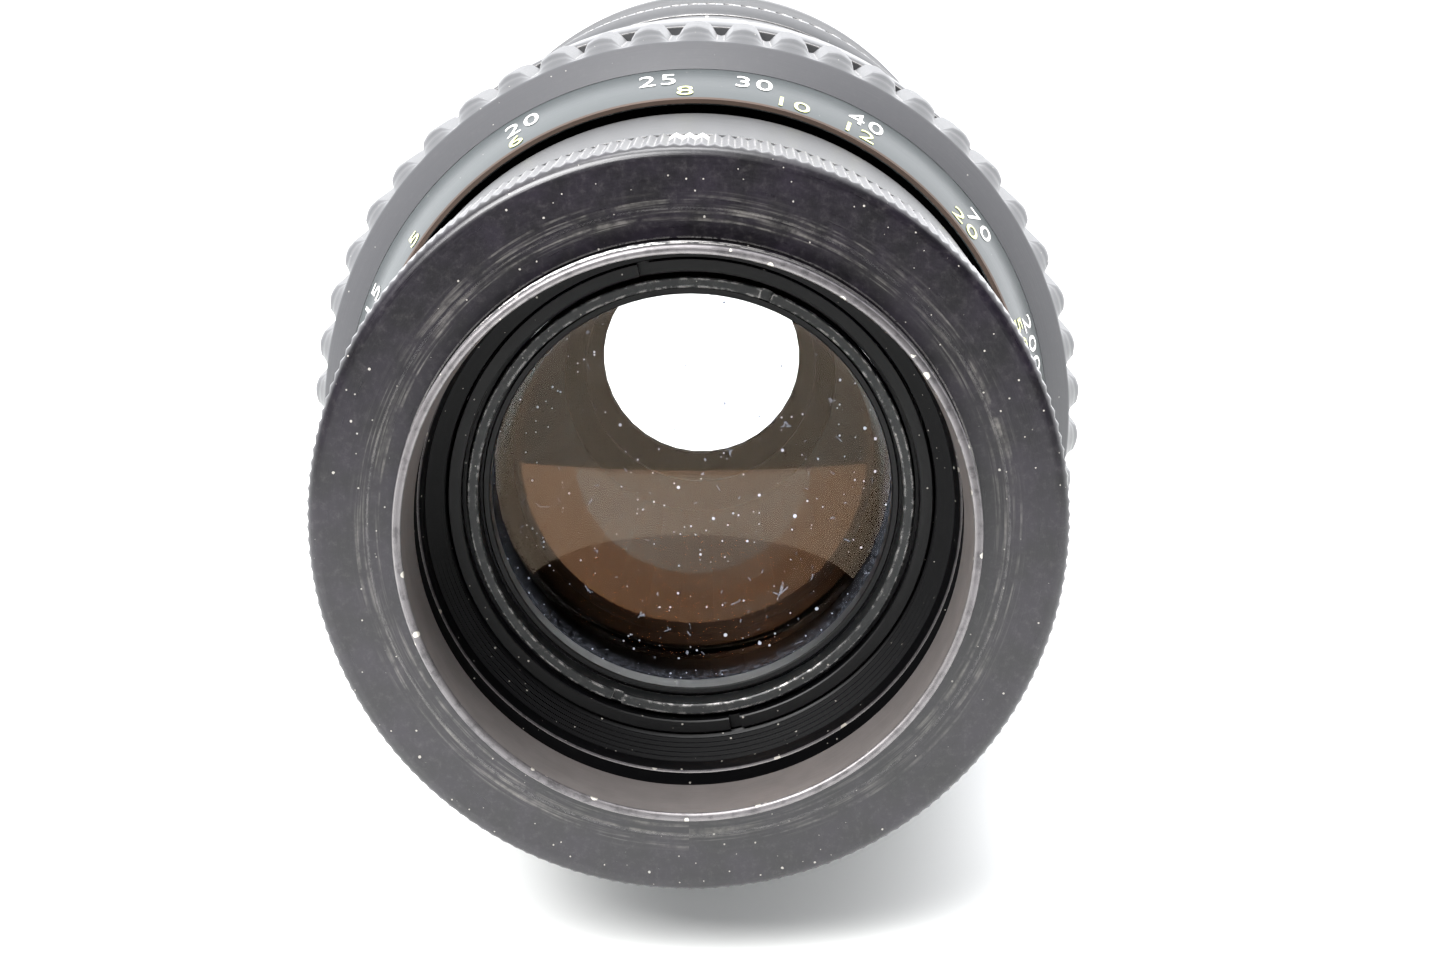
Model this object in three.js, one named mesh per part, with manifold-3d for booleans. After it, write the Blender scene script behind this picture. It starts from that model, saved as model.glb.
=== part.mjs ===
// A manual telephoto prime lens, lying on its side on a table.
// Millimetres, +Z up. The optical axis runs along +Y, from the camera mount to the front rim.
// Every station below is a distance from the mount's flange face, and every radius is from the axis.

import * as THREE from "three";
import { mergeVertices } from "three/addons/utils/BufferGeometryUtils.js";
import Module from "manifold-3d";

const wasm = await Module();
wasm.setup();

// ---- Driving dimensions ----

const SIDES = 36; // flats round every turned piece
const HALF_SIDE = Math.PI / SIDES;
const REST_RADIUS = 34.4; // the ribs and the front rim stand this far off the axis, on the table
const SPIGOT_TIP = -3.5; // the rearmost point
const FRONT_RIM = 184; // the foremost point

const THREAD_42 = 21; // the camera's screw thread, 42 mm across
const FLANGE_RADIUS = 26.9;
const KNURL_RADIUS = 27.8;
const KNURL_END = 11;
const BARREL_RADIUS = 27.6;
const BARREL_STEP = 34.1; // where the rear barrel necks down under the focus ring
const BARREL_BORE = 24.2;

const SLEEVE_LIP = 36.9;
const SCALE_TOP = 42.3; // the large end of the numbered cone
const SCALE_RADIUS = 30.8;
const RIB_START = 44.8;
const RIB_END = 60;
const RIB_COUNT = 50;
const RIB_VALLEY = 33.1;
const GRIP_BORE = 31.1;
const COLLAR_END = 82;
const SCREW_STATION = 64.5;
const NUT_START = 44.2;
const NUT_END = 47.6;
const BARREL_END = 78; // front end of the fixed barrel

const SKIRT_START = 60; // rear end of the sliding front barrel, at rest
const THREAD_RADIUS = 29; // its rear end, which the focus sleeve's thread drives
const SKIRT_RADIUS = 30.6;
const FRONT_BARREL_RADIUS = 32.6;
const SEAT_RADIUS = 31; // the neck that the aperture ring turns on
const APERTURE_START = 141;
const APERTURE_END = 153;

const IRIS_OPENING = 19.6;
const BLADE_COUNT = 10;
const BLADE_THICK = 0.2;
const BLADE_PITCH = 0.32;
const BLADE_EDGE = 26.2; // outer radius of a blade's band
const BLADE_PIVOT = 27.6; // each blade swings on a stud here
const FIRST_BLADE = 142.7;
const BASE_TOP = 142.5;

const REAR_GLASS_RADIUS = 16.8;
const FRONT_GLASS_RADIUS = 27.6;
const KEY_WIDTH = 3;
const GAP = 0.15; // between pieces that are fitted together
const RUNNING_GAP = 0.3; // between pieces that turn or slide

// ---- Finishes ----

function finish(color, roughness, metalness) {
  return new THREE.MeshStandardMaterial({ color, roughness, metalness });
}
const blackAnodised = finish("#2b2c30", 0.45, 0.6);
const blackMatt = finish("#111214", 0.8, 0.2);
const wornAluminium = finish("#8d8d90", 0.35, 0.9);
const brass = finish("#a98a4a", 0.35, 0.9);
const steel = finish("#77787c", 0.35, 0.9);
const coatedGlass = finish("#cfd6cf", 0.05, 0);

// ---- Solids and booleans ----

const group = new THREE.Group();
group.position.set(0, -(SPIGOT_TIP + FRONT_RIM) / 2, REST_RADIUS);

function place(name, geometry, material) {
  const mesh = new THREE.Mesh(geometry, material);
  mesh.name = name;
  group.add(mesh);
  return mesh;
}

// An outline of [radius, station] corners, anticlockwise, turned about the axis.
function turning(outline, sides = SIDES) {
  const closed = [...outline, outline[0]].map(([r, y]) => new THREE.Vector2(r, y));
  return new THREE.LatheGeometry(closed, sides, Math.PI / sides);
}

// A solid of revolution whose outline starts and ends on the axis.
function solidTurning(outline, sides = SIDES) {
  const points = outline.map(([r, y]) => new THREE.Vector2(r, y));
  return new THREE.LatheGeometry(points, sides, Math.PI / sides);
}

function tube(inner, outer, start, end) {
  return [[inner, start], [outer, start], [outer, end], [inner, end]];
}

function solidOf(geometry) {
  const bare = geometry.clone();
  bare.deleteAttribute("normal");
  bare.deleteAttribute("uv");
  const merged = mergeVertices(bare, 1e-4);
  return new wasm.Manifold(
    new wasm.Mesh({
      numProp: 3,
      vertProperties: merged.attributes.position.array,
      triVerts: new Uint32Array(merged.index.array),
    }),
  );
}

function geometryOf(solid) {
  const made = solid.getMesh();
  return new THREE.BufferGeometry()
    .setAttribute("position", new THREE.BufferAttribute(made.vertProperties, 3))
    .setIndex(new THREE.BufferAttribute(made.triVerts, 1));
}

function cut(geometry, ...tools) {
  return geometryOf(tools.reduce((solid, tool) => solid.subtract(solidOf(tool)), solidOf(geometry)));
}

function join(...geometries) {
  return geometryOf(geometries.map(solidOf).reduce((solid, next) => solid.add(next)));
}

// A plate across the axis from station start to end. The drawing's x is +X and its y is -Z.
function plate(shape, start, end, curveSegments = 4) {
  return new THREE.ExtrudeGeometry(shape, { depth: end - start, bevelEnabled: false, curveSegments })
    .rotateX(-Math.PI / 2)
    .translate(0, start, 0);
}

// A round bar that stands out radially at an angle from the top.
function radialBar(radius, from, to, station, angle, sides = 10) {
  return new THREE.CylinderGeometry(radius, radius, to - from, sides)
    .translate(0, (from + to) / 2, 0)
    .rotateX(Math.PI / 2)
    .rotateY(angle)
    .translate(0, station, 0);
}

// A bar across a ring's face, which cuts two opposed spanner slots in it.
function spannerSlots(outer, face, depth, width, angle) {
  return new THREE.BoxGeometry(2 * outer + 2, 2 * depth, width)
    .rotateY(angle)
    .translate(0, face, 0);
}

// A lens element: two spherical faces, given by their sagittas at the edge.
// A positive sagitta bulges outwards from the element.
function element(radius, rearEdge, frontEdge, rearSag, frontSag) {
  const steps = 3;
  const face = (edge, sag, side) =>
    Array.from({ length: steps + 1 }, (_, i) => {
      const r = (radius * i) / steps;
      return [r, edge + side * sag * (1 - (r / radius) ** 2)];
    });
  return solidTurning([...face(rearEdge, rearSag, -1), ...face(frontEdge, frontSag, 1).reverse()]);
}

// ---- Mount and rear barrel ----

function mountEnd() {
  place("mount_ring", turning([
    [23.2, 0], [FLANGE_RADIUS, 0], [KNURL_RADIUS, 0.9], [KNURL_RADIUS, KNURL_END],
    [25.9, KNURL_END], [25.9, 3.2], [23.2, 3.2],
  ]), blackAnodised);
  place("mount_spigot", turning([
    [20.3, SPIGOT_TIP], [THREAD_42, SPIGOT_TIP], [THREAD_42, -0.05], [23.05, -0.05],
    [23.05, 2.4], [20.1, 2.4],
  ]), wornAluminium);
  const barrel = turning([
    [BARREL_BORE, 3.4], [25.7, 3.4], [25.7, KNURL_END + GAP], [BARREL_RADIUS, KNURL_END + GAP],
    [BARREL_RADIUS, BARREL_STEP], [26.2, BARREL_STEP], [26.2, BARREL_END], [BARREL_BORE, BARREL_END],
  ]);
  const keyway = new THREE.BoxGeometry(60, 31, KEY_WIDTH + 0.6).translate(0, 49 + 15.5, 0);
  place("rear_barrel", cut(barrel, keyway), blackAnodised);
  place("rear_baffle", turning([
    [20.2, 5.9], [24, 5.9], [24, 9.5], [18.6, 9.5], [18.6, 9.3], [20.2, 6.3],
  ]), blackMatt);
}

function rearCell() {
  place("rear_bulkhead", turning(tube(18.75, 24, 9.8, 14)), blackMatt);
  const lockRing = turning(tube(17.4, 18.5, 10, 11.5));
  place("rear_lock_ring", cut(lockRing, spannerSlots(18.5, 10, 0.8, 0.9, -1.76)), blackMatt);
  place("rear_cell", turning([
    [17.2, 11.7], [18.5, 11.7], [18.5, 30], [15.6, 30], [15.6, 28.6], [17.2, 28.6],
  ]), blackAnodised);
  const keeper = turning(tube(16.2, 17, 10.2, 12.6));
  place("rear_retaining_ring", cut(keeper, spannerSlots(17, 10.2, 0.7, 0.9, -1.2)), blackMatt);
  place("rear_bezel", turning([
    [15.5, 12.3], [16, 12.3], [16, 12.8], [17, 12.8], [17, 14.7], [15.5, 14.7],
  ]), blackMatt);
  place("rear_lens_outer", element(REAR_GLASS_RADIUS, 15.1, 19.6, 1.62, -2.91), coatedGlass);
  place("rear_spacer", turning(tube(16, 17, 19.8, 23)), blackMatt);
  place("rear_lens_inner", element(REAR_GLASS_RADIUS, 23.2, 28.1, -1.99, 1.55), coatedGlass);
}

// ---- Focus ring ----

function ribStar(tip) {
  const shape = new THREE.Shape();
  const turn = (2 * Math.PI) / RIB_COUNT;
  const corners = [[-0.34, RIB_VALLEY - 0.4], [-0.2, tip], [0.2, tip], [0.34, RIB_VALLEY - 0.4]];
  for (let rib = 0; rib < RIB_COUNT; rib++)
    for (const [share, radius] of corners) {
      const angle = (rib + share) * turn;
      const point = [radius * Math.sin(angle), radius * Math.cos(angle)];
      if (rib === 0 && share === corners[0][0]) shape.moveTo(...point);
      else shape.lineTo(...point);
    }
  return shape;
}

function focusRing() {
  place("scale_sleeve", turning([
    [28.1, SLEEVE_LIP], [28.8, SLEEVE_LIP], [SCALE_RADIUS, SCALE_TOP], [SCALE_RADIUS, 58],
    [THREAD_RADIUS + RUNNING_GAP, 58], [THREAD_RADIUS + RUNNING_GAP, 43],
  ]), blackAnodised);

  const tipRadius = REST_RADIUS / Math.cos(0.2 * ((2 * Math.PI) / RIB_COUNT));
  const core = turning([
    [GRIP_BORE, SCALE_TOP + GAP], [RIB_VALLEY, RIB_START], [RIB_VALLEY, RIB_END],
    [33.8, RIB_END + 1], [33.8, COLLAR_END - 0.6], [33.2, COLLAR_END], [GRIP_BORE, COLLAR_END],
  ]);
  const ribs = solidOf(plate(ribStar(tipRadius), RIB_START + 0.01, RIB_END + 0.6));
  const envelope = solidOf(solidTurning([
    [0, RIB_START - 1], [RIB_VALLEY - 0.3, RIB_START - 1], [RIB_VALLEY, RIB_START],
    [36, RIB_START + 2.6], [36, RIB_END + 2], [0, RIB_END + 2],
  ], 72));
  const bore = solidOf(solidTurning([[0, 30], [GRIP_BORE, 30], [GRIP_BORE, 80], [0, 80]]));
  const grip = solidOf(core).add(ribs.intersect(envelope)).subtract(bore);

  const screwAngles = [1, 2, 3].map((n) => ((n * 120 + 25) * Math.PI) / 180);
  const holes = screwAngles.map((angle) => solidOf(radialBar(1.1, 30, 36, SCREW_STATION, angle)));
  place("focus_grip", geometryOf(holes.reduce((solid, hole) => solid.subtract(hole), grip)), blackAnodised);
  screwAngles.forEach((angle, n) => {
    place(`grip_screw_${n + 1}`, radialBar(0.9, 30.95, 33.2, SCREW_STATION, angle), steel);
  });
  place("focus_nut", turning(tube(26.6, 29.1, NUT_START, NUT_END)), blackMatt);
}

// ---- Front barrel, which slides ----

function driveSlot(inner, outer, start, end, half) {
  const slot = new THREE.Shape();
  slot.absarc(0, 0, outer, Math.PI / 2 - half, Math.PI / 2 + half, false);
  slot.absarc(0, 0, inner, Math.PI / 2 + half, Math.PI / 2 - half, true);
  return plate(slot, start, end, 8).rotateY(Math.PI);
}

function frontBarrel() {
  const shell = turning([
    [27, SKIRT_START], [THREAD_RADIUS, SKIRT_START], [THREAD_RADIUS, 70.4],
    [SKIRT_RADIUS, 70.4], [SKIRT_RADIUS, 94.4], [FRONT_BARREL_RADIUS, 96.4],
    [FRONT_BARREL_RADIUS, APERTURE_START - 0.4], [SEAT_RADIUS, APERTURE_START - 0.4],
    [SEAT_RADIUS, 158], [29.6, 158], [29.6, 140], [28.8, 138], [28.8, 80], [27, 78],
  ]);
  place("front_barrel", cut(shell, driveSlot(28, 33, 146, 148.8, 0.62)), blackAnodised);
  place("inner_tube", turning([
    [21.6, 45], [23.9, 45], [23.9, 96], [28.6, 96], [28.6, 100], [21.6, 100],
  ]), blackMatt);
  place("barrel_baffle", turning(tube(20.4, 28.6, 118, 119)), blackMatt);
  place("filter_ring", turning([
    [31.2, APERTURE_END + 0.4], [33.4, APERTURE_END + 0.4], [33.4, 170],
    [REST_RADIUS / Math.cos(HALF_SIDE), 173], [REST_RADIUS / Math.cos(HALF_SIDE), FRONT_RIM - 0.4],
    [34.1, FRONT_RIM], [33, FRONT_RIM], [32.6, 176.5], [31.2, 176.5], [31.2, 172.6],
    [29.7, 172.6], [29.7, 158.3], [31.2, 158.3],
  ]), blackAnodised);
  for (const [name, side] of [["guide_key_left", -1], ["guide_key_right", 1]]) {
    const key = new THREE.BoxGeometry(2.5, 6, KEY_WIDTH).translate(side * 25.6, 64.5, 0);
    place(name, key, brass);
  }
}

function frontCell() {
  place("front_cell", turning([
    [26.6, 153.5], [29.4, 153.5], [29.4, 172.6], [27.9, 172.6], [27.9, 155], [26.6, 155],
  ]), blackAnodised);
  place("front_lens_inner", element(FRONT_GLASS_RADIUS, 155.2, 159.2, -1, -2.1), coatedGlass);
  place("front_spacer", turning(tube(26.9, 27.7, 159.4, 161.3)), blackMatt);
  place("front_lens_outer", element(FRONT_GLASS_RADIUS, 161.5, 164.5, 1.6, 2.4), coatedGlass);
  const keeper = turning(tube(26.4, 27.7, 166.2, 168));
  place("front_retaining_ring", cut(keeper, spannerSlots(27.7, 168, 0.8, 1.2, 0.4)), blackMatt);
  place("front_name_ring", turning([
    [28, 172.8], [31, 172.8], [31, 175.8], [30.4, 175.8], [28, 173.6],
  ]), blackMatt);
}

// ---- Iris and aperture ring ----

function bladeShape() {
  const shape = new THREE.Shape();
  const start = (-6 * Math.PI) / 180;
  const end = (98 * Math.PI) / 180;
  shape.absarc(0, 0, BLADE_EDGE, start, end, false);
  shape.absarc(0, 0, IRIS_OPENING + 0.3, end, start, true);
  return shape;
}

function irisBlades() {
  for (let n = 0; n < BLADE_COUNT; n++) {
    const from = FIRST_BLADE + n * BLADE_PITCH;
    const band = plate(bladeShape(), from, from + BLADE_THICK, 7);
    const ear = new THREE.CylinderGeometry(1.3, 1.3, BLADE_THICK, 10)
      .translate(BLADE_PIVOT, from + BLADE_THICK / 2, 0);
    const lug = new THREE.BoxGeometry(4.4, BLADE_THICK, 2.4)
      .translate(BLADE_PIVOT - 2.2, from + BLADE_THICK / 2, 0);
    const stud = new THREE.CylinderGeometry(0.55, 0.55, from + BLADE_THICK - 142, 8)
      .translate(BLADE_PIVOT, (from + BLADE_THICK + 142) / 2, 0);
    const blade = join(band, ear, lug, stud).rotateY((n * 2 * Math.PI) / BLADE_COUNT);
    place(`iris_blade_${n + 1}`, blade, steel);
  }
}

function irisUnit() {
  const base = turning([
    [IRIS_OPENING, 141.5], [29.4, 141.5], [29.4, BASE_TOP], [IRIS_OPENING, BASE_TOP],
  ]);
  const studHoles = Array.from({ length: BLADE_COUNT }, (_, n) =>
    new THREE.CylinderGeometry(0.85, 0.85, 4, 8)
      .translate(BLADE_PIVOT, 142, 0)
      .rotateY((n * 2 * Math.PI) / BLADE_COUNT),
  );
  place("iris_base", cut(base, ...studHoles), blackMatt);
  irisBlades();
  place("iris_drive_ring", turning(tube(20.2, 29.1, 146.2, 148.6)), blackMatt);
}

function apertureRing() {
  const ring = turning([
    [SEAT_RADIUS + RUNNING_GAP, APERTURE_START], [32.9, APERTURE_START], [33.9, 143],
    [33.9, 152.4], [33.3, APERTURE_END], [SEAT_RADIUS + RUNNING_GAP, APERTURE_END],
  ]);
  place("aperture_ring", ring, blackAnodised);
  place("aperture_drive_pin", radialBar(0.9, 29.25, 31.1, 147.4, -Math.PI / 6), steel);
}

mountEnd();
rearCell();
focusRing();
frontBarrel();
frontCell();
irisUnit();
apertureRing();

export default group;
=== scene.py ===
import math

import bmesh
import bpy
from mathutils import Matrix, Vector


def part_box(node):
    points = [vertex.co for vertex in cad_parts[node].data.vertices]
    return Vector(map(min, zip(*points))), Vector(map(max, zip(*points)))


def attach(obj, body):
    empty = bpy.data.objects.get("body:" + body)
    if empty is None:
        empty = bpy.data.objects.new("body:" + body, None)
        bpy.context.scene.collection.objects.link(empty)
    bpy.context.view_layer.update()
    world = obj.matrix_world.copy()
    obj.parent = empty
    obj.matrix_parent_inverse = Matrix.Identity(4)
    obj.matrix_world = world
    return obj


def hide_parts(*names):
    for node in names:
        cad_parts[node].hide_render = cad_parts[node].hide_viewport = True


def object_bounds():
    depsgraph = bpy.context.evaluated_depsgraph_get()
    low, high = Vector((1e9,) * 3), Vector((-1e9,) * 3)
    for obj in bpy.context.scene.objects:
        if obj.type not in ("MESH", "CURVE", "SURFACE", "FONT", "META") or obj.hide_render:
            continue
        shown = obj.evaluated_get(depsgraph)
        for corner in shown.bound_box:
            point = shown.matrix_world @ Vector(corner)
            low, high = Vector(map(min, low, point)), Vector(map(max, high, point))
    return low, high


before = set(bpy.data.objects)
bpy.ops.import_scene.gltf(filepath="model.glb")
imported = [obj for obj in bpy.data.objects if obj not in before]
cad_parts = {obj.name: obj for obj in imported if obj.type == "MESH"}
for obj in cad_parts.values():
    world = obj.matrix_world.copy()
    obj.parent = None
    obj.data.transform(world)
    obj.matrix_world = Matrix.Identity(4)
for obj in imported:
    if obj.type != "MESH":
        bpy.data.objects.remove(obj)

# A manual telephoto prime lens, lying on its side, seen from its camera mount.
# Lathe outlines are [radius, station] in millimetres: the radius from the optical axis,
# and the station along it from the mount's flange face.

CAD_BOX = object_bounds()
MM = 0.001
TURN = 2 * math.pi

FLANGE_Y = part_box("mount_ring")[0].y
AXIS_Z = (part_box("mount_ring")[0].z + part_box("mount_ring")[1].z) / 2
FLOOR_Z = CAD_BOX[0].z

REAR, FOCUS, FRONT, APERTURE = "rear_barrel", "focus_ring", "front_barrel", "aperture_ring"


def stations(node):
    """The stations of a CAD node's two ends, in mm."""
    low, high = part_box(node)
    return (low.y - FLANGE_Y) / MM, (high.y - FLANGE_Y) / MM


KNURL_TEETH = 180
KNURL_DEPTH = 0.26
KNURL_END = stations("mount_ring")[1]
INDEX_TEETH = 3       # knurl crests painted white as the mount's index
INDEX_START = 6.3
SPIGOT_TIP = stations("mount_spigot")[0]
SLEEVE_LIP = stations("scale_sleeve")[0]
CONE_LIP_RADIUS = 28.75
CONE_TOP = 42.3
CONE_TOP_RADIUS = 30.8
RIB_COUNT = 50
RIB_START = 44.8
RIB_END = 60.4
RIB_VALLEY = 33.1
RIB_CREST = 34.4
RIB_SHOULDER = 0.36   # half of a crest's width, as a share of half the spacing
APERTURE_START, APERTURE_END = stations("aperture_ring")
FLOOR_SIZE = 6.0      # metres, half the floor's width
CARD_DISTANCE = 0.2   # metres from the flange to the dark card
CARD_WIDTH = 0.9
CARD_HEIGHT = 0.12


# ---- Lathe work and other shaping ----

def point_at(radius, station, angle=0.0):
    """A place on the lens: the angle is clockwise from the top, seen from the mount."""
    r = radius * MM
    return Vector((r * math.sin(angle), FLANGE_Y + station * MM, AXIS_Z + r * math.cos(angle)))


def arc(centre_radius, centre_station, size, start, end, steps=5):
    """Outline corners along an arc. Its angles are in degrees, from the radial direction to the front."""
    angles = (math.radians(start + (end - start) * i / steps) for i in range(steps + 1))
    return [(centre_radius + size * math.cos(a), centre_station + size * math.sin(a)) for a in angles]


def spun(outline, steps=192, closed=True, start=0.0, sweep=TURN):
    """A bmesh of an outline turned about the optical axis."""
    bm = bmesh.new()
    verts = [bm.verts.new(point_at(r, s, start)) for r, s in outline]
    pairs = list(zip(verts, verts[1:])) + ([(verts[-1], verts[0])] if closed else [])
    edges = [bm.edges.new(pair) for pair in pairs]
    full = sweep == TURN
    if not full:
        bm.faces.new(verts)
    geometry = verts + edges + list(bm.faces)
    bmesh.ops.spin(bm, geom=geometry, cent=(0, FLANGE_Y, AXIS_Z), axis=(0, 1, 0), angle=sweep,
                   steps=steps, use_merge=full, use_duplicate=False)
    bmesh.ops.remove_doubles(bm, verts=bm.verts, dist=1e-7)
    bmesh.ops.recalc_face_normals(bm, faces=bm.faces)
    return bm


def polar(vert):
    """A vertex's radius and station in mm, and its angle."""
    x, z = vert.co.x, vert.co.z - AXIS_Z
    return math.hypot(x, z) / MM, (vert.co.y - FLANGE_Y) / MM, math.atan2(x, z)


def move_radially(bm, change):
    """Moves each vertex out from the axis by change(radius, station, angle), in mm."""
    for vert in bm.verts:
        radius, station, angle = polar(vert)
        if radius > 1:
            vert.co = point_at(radius + change(radius, station, angle), station, angle)


def joined(*parts):
    """One bmesh of several."""
    whole = bmesh.new()
    for bm in parts:
        mesh = bpy.data.meshes.new("part")
        bm.to_mesh(mesh)
        bm.free()
        whole.from_mesh(mesh)
        bpy.data.meshes.remove(mesh)
    return whole


def piece(name, bm, body, materials, stands_for=None, paint=None, sharp=35):
    """Makes the object on its body. paint(radius, station, angle) chooses each face's material by its
    middle, and edges over the angle sharp, in degrees, stay crisp."""
    mesh = bpy.data.meshes.new(name)
    if paint:
        for face in bm.faces:
            middle = face.calc_center_median()
            x, z = middle.x, middle.z - AXIS_Z
            face.material_index = paint(math.hypot(x, z) / MM, (middle.y - FLANGE_Y) / MM, math.atan2(x, z))
    bm.to_mesh(mesh)
    bm.free()
    mesh.shade_smooth()
    mesh.set_sharp_from_angle(angle=math.radians(sharp))
    for material in materials if isinstance(materials, list) else [materials]:
        mesh.materials.append(material)
    made = bpy.data.objects.new(name, mesh)
    bpy.context.scene.collection.objects.link(made)
    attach(made, body)
    if stands_for:
        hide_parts(stands_for)


# ---- Materials ----

def srgb(code):
    """A colour code such as #8090a0 as linear red, green, blue and alpha."""
    parts = (int(code[i:i + 2], 16) / 255 for i in (1, 3, 5))
    return (*(p / 12.92 if p <= 0.04045 else ((p + 0.055) / 1.055) ** 2.4 for p in parts), 1.0)


def add(tree, kind, inputs=None, **settings):
    """Adds a node with its settings. An input is a value, an output to link, or a node, of which the
    first output in use is linked."""
    made = tree.nodes.new(kind)
    for key, value in settings.items():
        setattr(made, key, value)
    for key, value in (inputs or {}).items():
        if isinstance(value, bpy.types.Node):
            value = next(output for output in value.outputs if output.enabled)
        if isinstance(value, bpy.types.NodeSocket):
            tree.links.new(value, made.inputs[key])
        else:
            made.inputs[key].default_value = value
    return made


def new_material(name):
    """A material with an empty tree, and the node that gives the lens's own coordinates in mm."""
    material = bpy.data.materials.new(name)
    material.use_nodes = True
    tree = material.node_tree
    tree.nodes.clear()
    mm = add(tree, "ShaderNodeMapping", {
        "Vector": add(tree, "ShaderNodeTexCoord").outputs["Object"],
        "Location": (0, -FLANGE_Y / MM, -AXIS_Z / MM),
        "Scale": (1 / MM, 1 / MM, 1 / MM),
    })
    return material, tree, mm


def lathe_place(tree, mm):
    """Coordinates along the tool's path (radius and station in mm, a little of the angle), and the radius."""
    axes = add(tree, "ShaderNodeSeparateXYZ", {0: mm}).outputs
    up_squared = add(tree, "ShaderNodeMath", {0: axes[2], 1: axes[2]}, operation="MULTIPLY")
    squares = add(tree, "ShaderNodeMath", {0: axes[0], 1: axes[0], 2: up_squared}, operation="MULTIPLY_ADD")
    radius = add(tree, "ShaderNodeMath", {0: squares}, operation="SQRT")
    angle = add(tree, "ShaderNodeMath", {0: axes[0], 1: axes[2]}, operation="ARCTAN2")
    drawn_out = add(tree, "ShaderNodeMath", {0: angle, 1: 0.6}, operation="MULTIPLY")
    path = add(tree, "ShaderNodeCombineXYZ", {0: radius, 1: axes[1], 2: drawn_out})
    return path, radius


def specks(tree, mm, cell, size, share):
    """Dust grains: a mask of small round spots, one in some of the cells, each of its own size."""
    wobble = add(tree, "ShaderNodeTexNoise", {"Vector": mm, "Scale": 6 / cell}).outputs["Color"]
    bent = add(tree, "ShaderNodeMix", {"Factor": 0.06 * cell, 4: mm, 5: wobble}, data_type="VECTOR")
    grains = add(tree, "ShaderNodeTexVoronoi", {"Vector": bent, "Scale": 1 / cell})
    lot = add(tree, "ShaderNodeSeparateColor", {0: grains.outputs["Color"]}).outputs
    mostly_small = add(tree, "ShaderNodeMath", {0: lot[0], 1: 2.0}, operation="POWER")
    radius = add(tree, "ShaderNodeMath", {0: mostly_small, 1: size / cell}, operation="MULTIPLY")
    kept = add(tree, "ShaderNodeMath", {0: lot[1], 1: share}, operation="LESS_THAN")
    near = add(tree, "ShaderNodeMath", {0: grains.outputs["Distance"], 1: radius}, operation="LESS_THAN")
    return add(tree, "ShaderNodeMath", {0: kept, 1: near}, operation="MULTIPLY")


def edge_wear(tree, mm, reach, amount):
    """A mask along convex edges, broken up as handling rubs them."""
    rounded = add(tree, "ShaderNodeBevel", {"Radius": reach * MM}, samples=4)
    flat = add(tree, "ShaderNodeNewGeometry").outputs["Normal"]
    turn = add(tree, "ShaderNodeVectorMath", {0: rounded, 1: flat}, operation="DOT_PRODUCT")
    edge = add(tree, "ShaderNodeMapRange", {
        "Value": turn, "From Min": 0.995, "From Max": 0.93,
    }, interpolation_type="SMOOTHSTEP")
    cloud = add(tree, "ShaderNodeTexNoise", {"Vector": mm, "Scale": 1.3, "Detail": 5, "Roughness": 0.7})
    patchy = add(tree, "ShaderNodeMapRange", {
        "Value": cloud, "From Min": 0.62 - amount, "From Max": 0.75 - amount,
    }, interpolation_type="SMOOTHSTEP")
    return add(tree, "ShaderNodeMath", {0: edge, 1: patchy}, operation="MULTIPLY")


def settled_dust(tree, mm, amount, haze):
    """A mask of dust: a thin uneven film, and grains of two sizes."""
    cloud = add(tree, "ShaderNodeTexNoise", {"Vector": mm, "Scale": 1.4, "Detail": 8, "Roughness": 0.85})
    patches = add(tree, "ShaderNodeMapRange", {
        "Value": cloud, "From Min": 0.48, "From Max": 0.72,
    }, interpolation_type="SMOOTHSTEP")
    film = add(tree, "ShaderNodeMath", {0: patches, 1: amount * haze}, operation="MULTIPLY")
    coarse = specks(tree, mm, 1.3, 0.11, amount)
    small = specks(tree, mm, 0.6, 0.08, amount * 1.2)
    grains = add(tree, "ShaderNodeMath", {0: coarse, 1: small}, operation="MAXIMUM")
    faint = add(tree, "ShaderNodeMath", {0: grains, 1: 0.5}, operation="MULTIPLY")
    return add(tree, "ShaderNodeMath", {0: film, 1: faint}, operation="MAXIMUM")


def scuff_ring(tree, mm, inner, outer):
    """A mask of broken circular scuffs between two radii in mm, where caps and cameras have rubbed."""
    path, radius = lathe_place(tree, mm)
    past_inner = add(tree, "ShaderNodeMapRange", {
        "Value": radius, "From Min": inner - 0.2, "From Max": inner + 0.2,
    }, interpolation_type="SMOOTHSTEP")
    within_outer = add(tree, "ShaderNodeMapRange", {
        "Value": radius, "From Min": outer + 0.5, "From Max": outer - 0.5,
    }, interpolation_type="SMOOTHSTEP")
    band = add(tree, "ShaderNodeMath", {0: past_inner, 1: within_outer}, operation="MULTIPLY")
    circles = add(tree, "ShaderNodeTexNoise", {"Vector": path, "Scale": 3.5, "Detail": 4, "Roughness": 0.6})
    lines = add(tree, "ShaderNodeMapRange", {
        "Value": circles, "From Min": 0.45, "From Max": 0.7,
    }, interpolation_type="SMOOTHSTEP")
    cloud = add(tree, "ShaderNodeTexNoise", {"Vector": mm, "Scale": 0.5, "Detail": 5, "Roughness": 0.7})
    gaps = add(tree, "ShaderNodeMapRange", {
        "Value": cloud, "From Min": 0.35, "From Max": 0.65,
    }, interpolation_type="SMOOTHSTEP")
    streaks = add(tree, "ShaderNodeMath", {0: lines, 1: gaps}, operation="MULTIPLY")
    scuffs = add(tree, "ShaderNodeMath", {0: band, 1: streaks}, operation="MULTIPLY")
    return add(tree, "ShaderNodeMath", {0: scuffs, 1: 0.2}, operation="MULTIPLY")


DUST = srgb("#c9c4bb")
BARE_METAL = srgb("#b9b6b4")


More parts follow.
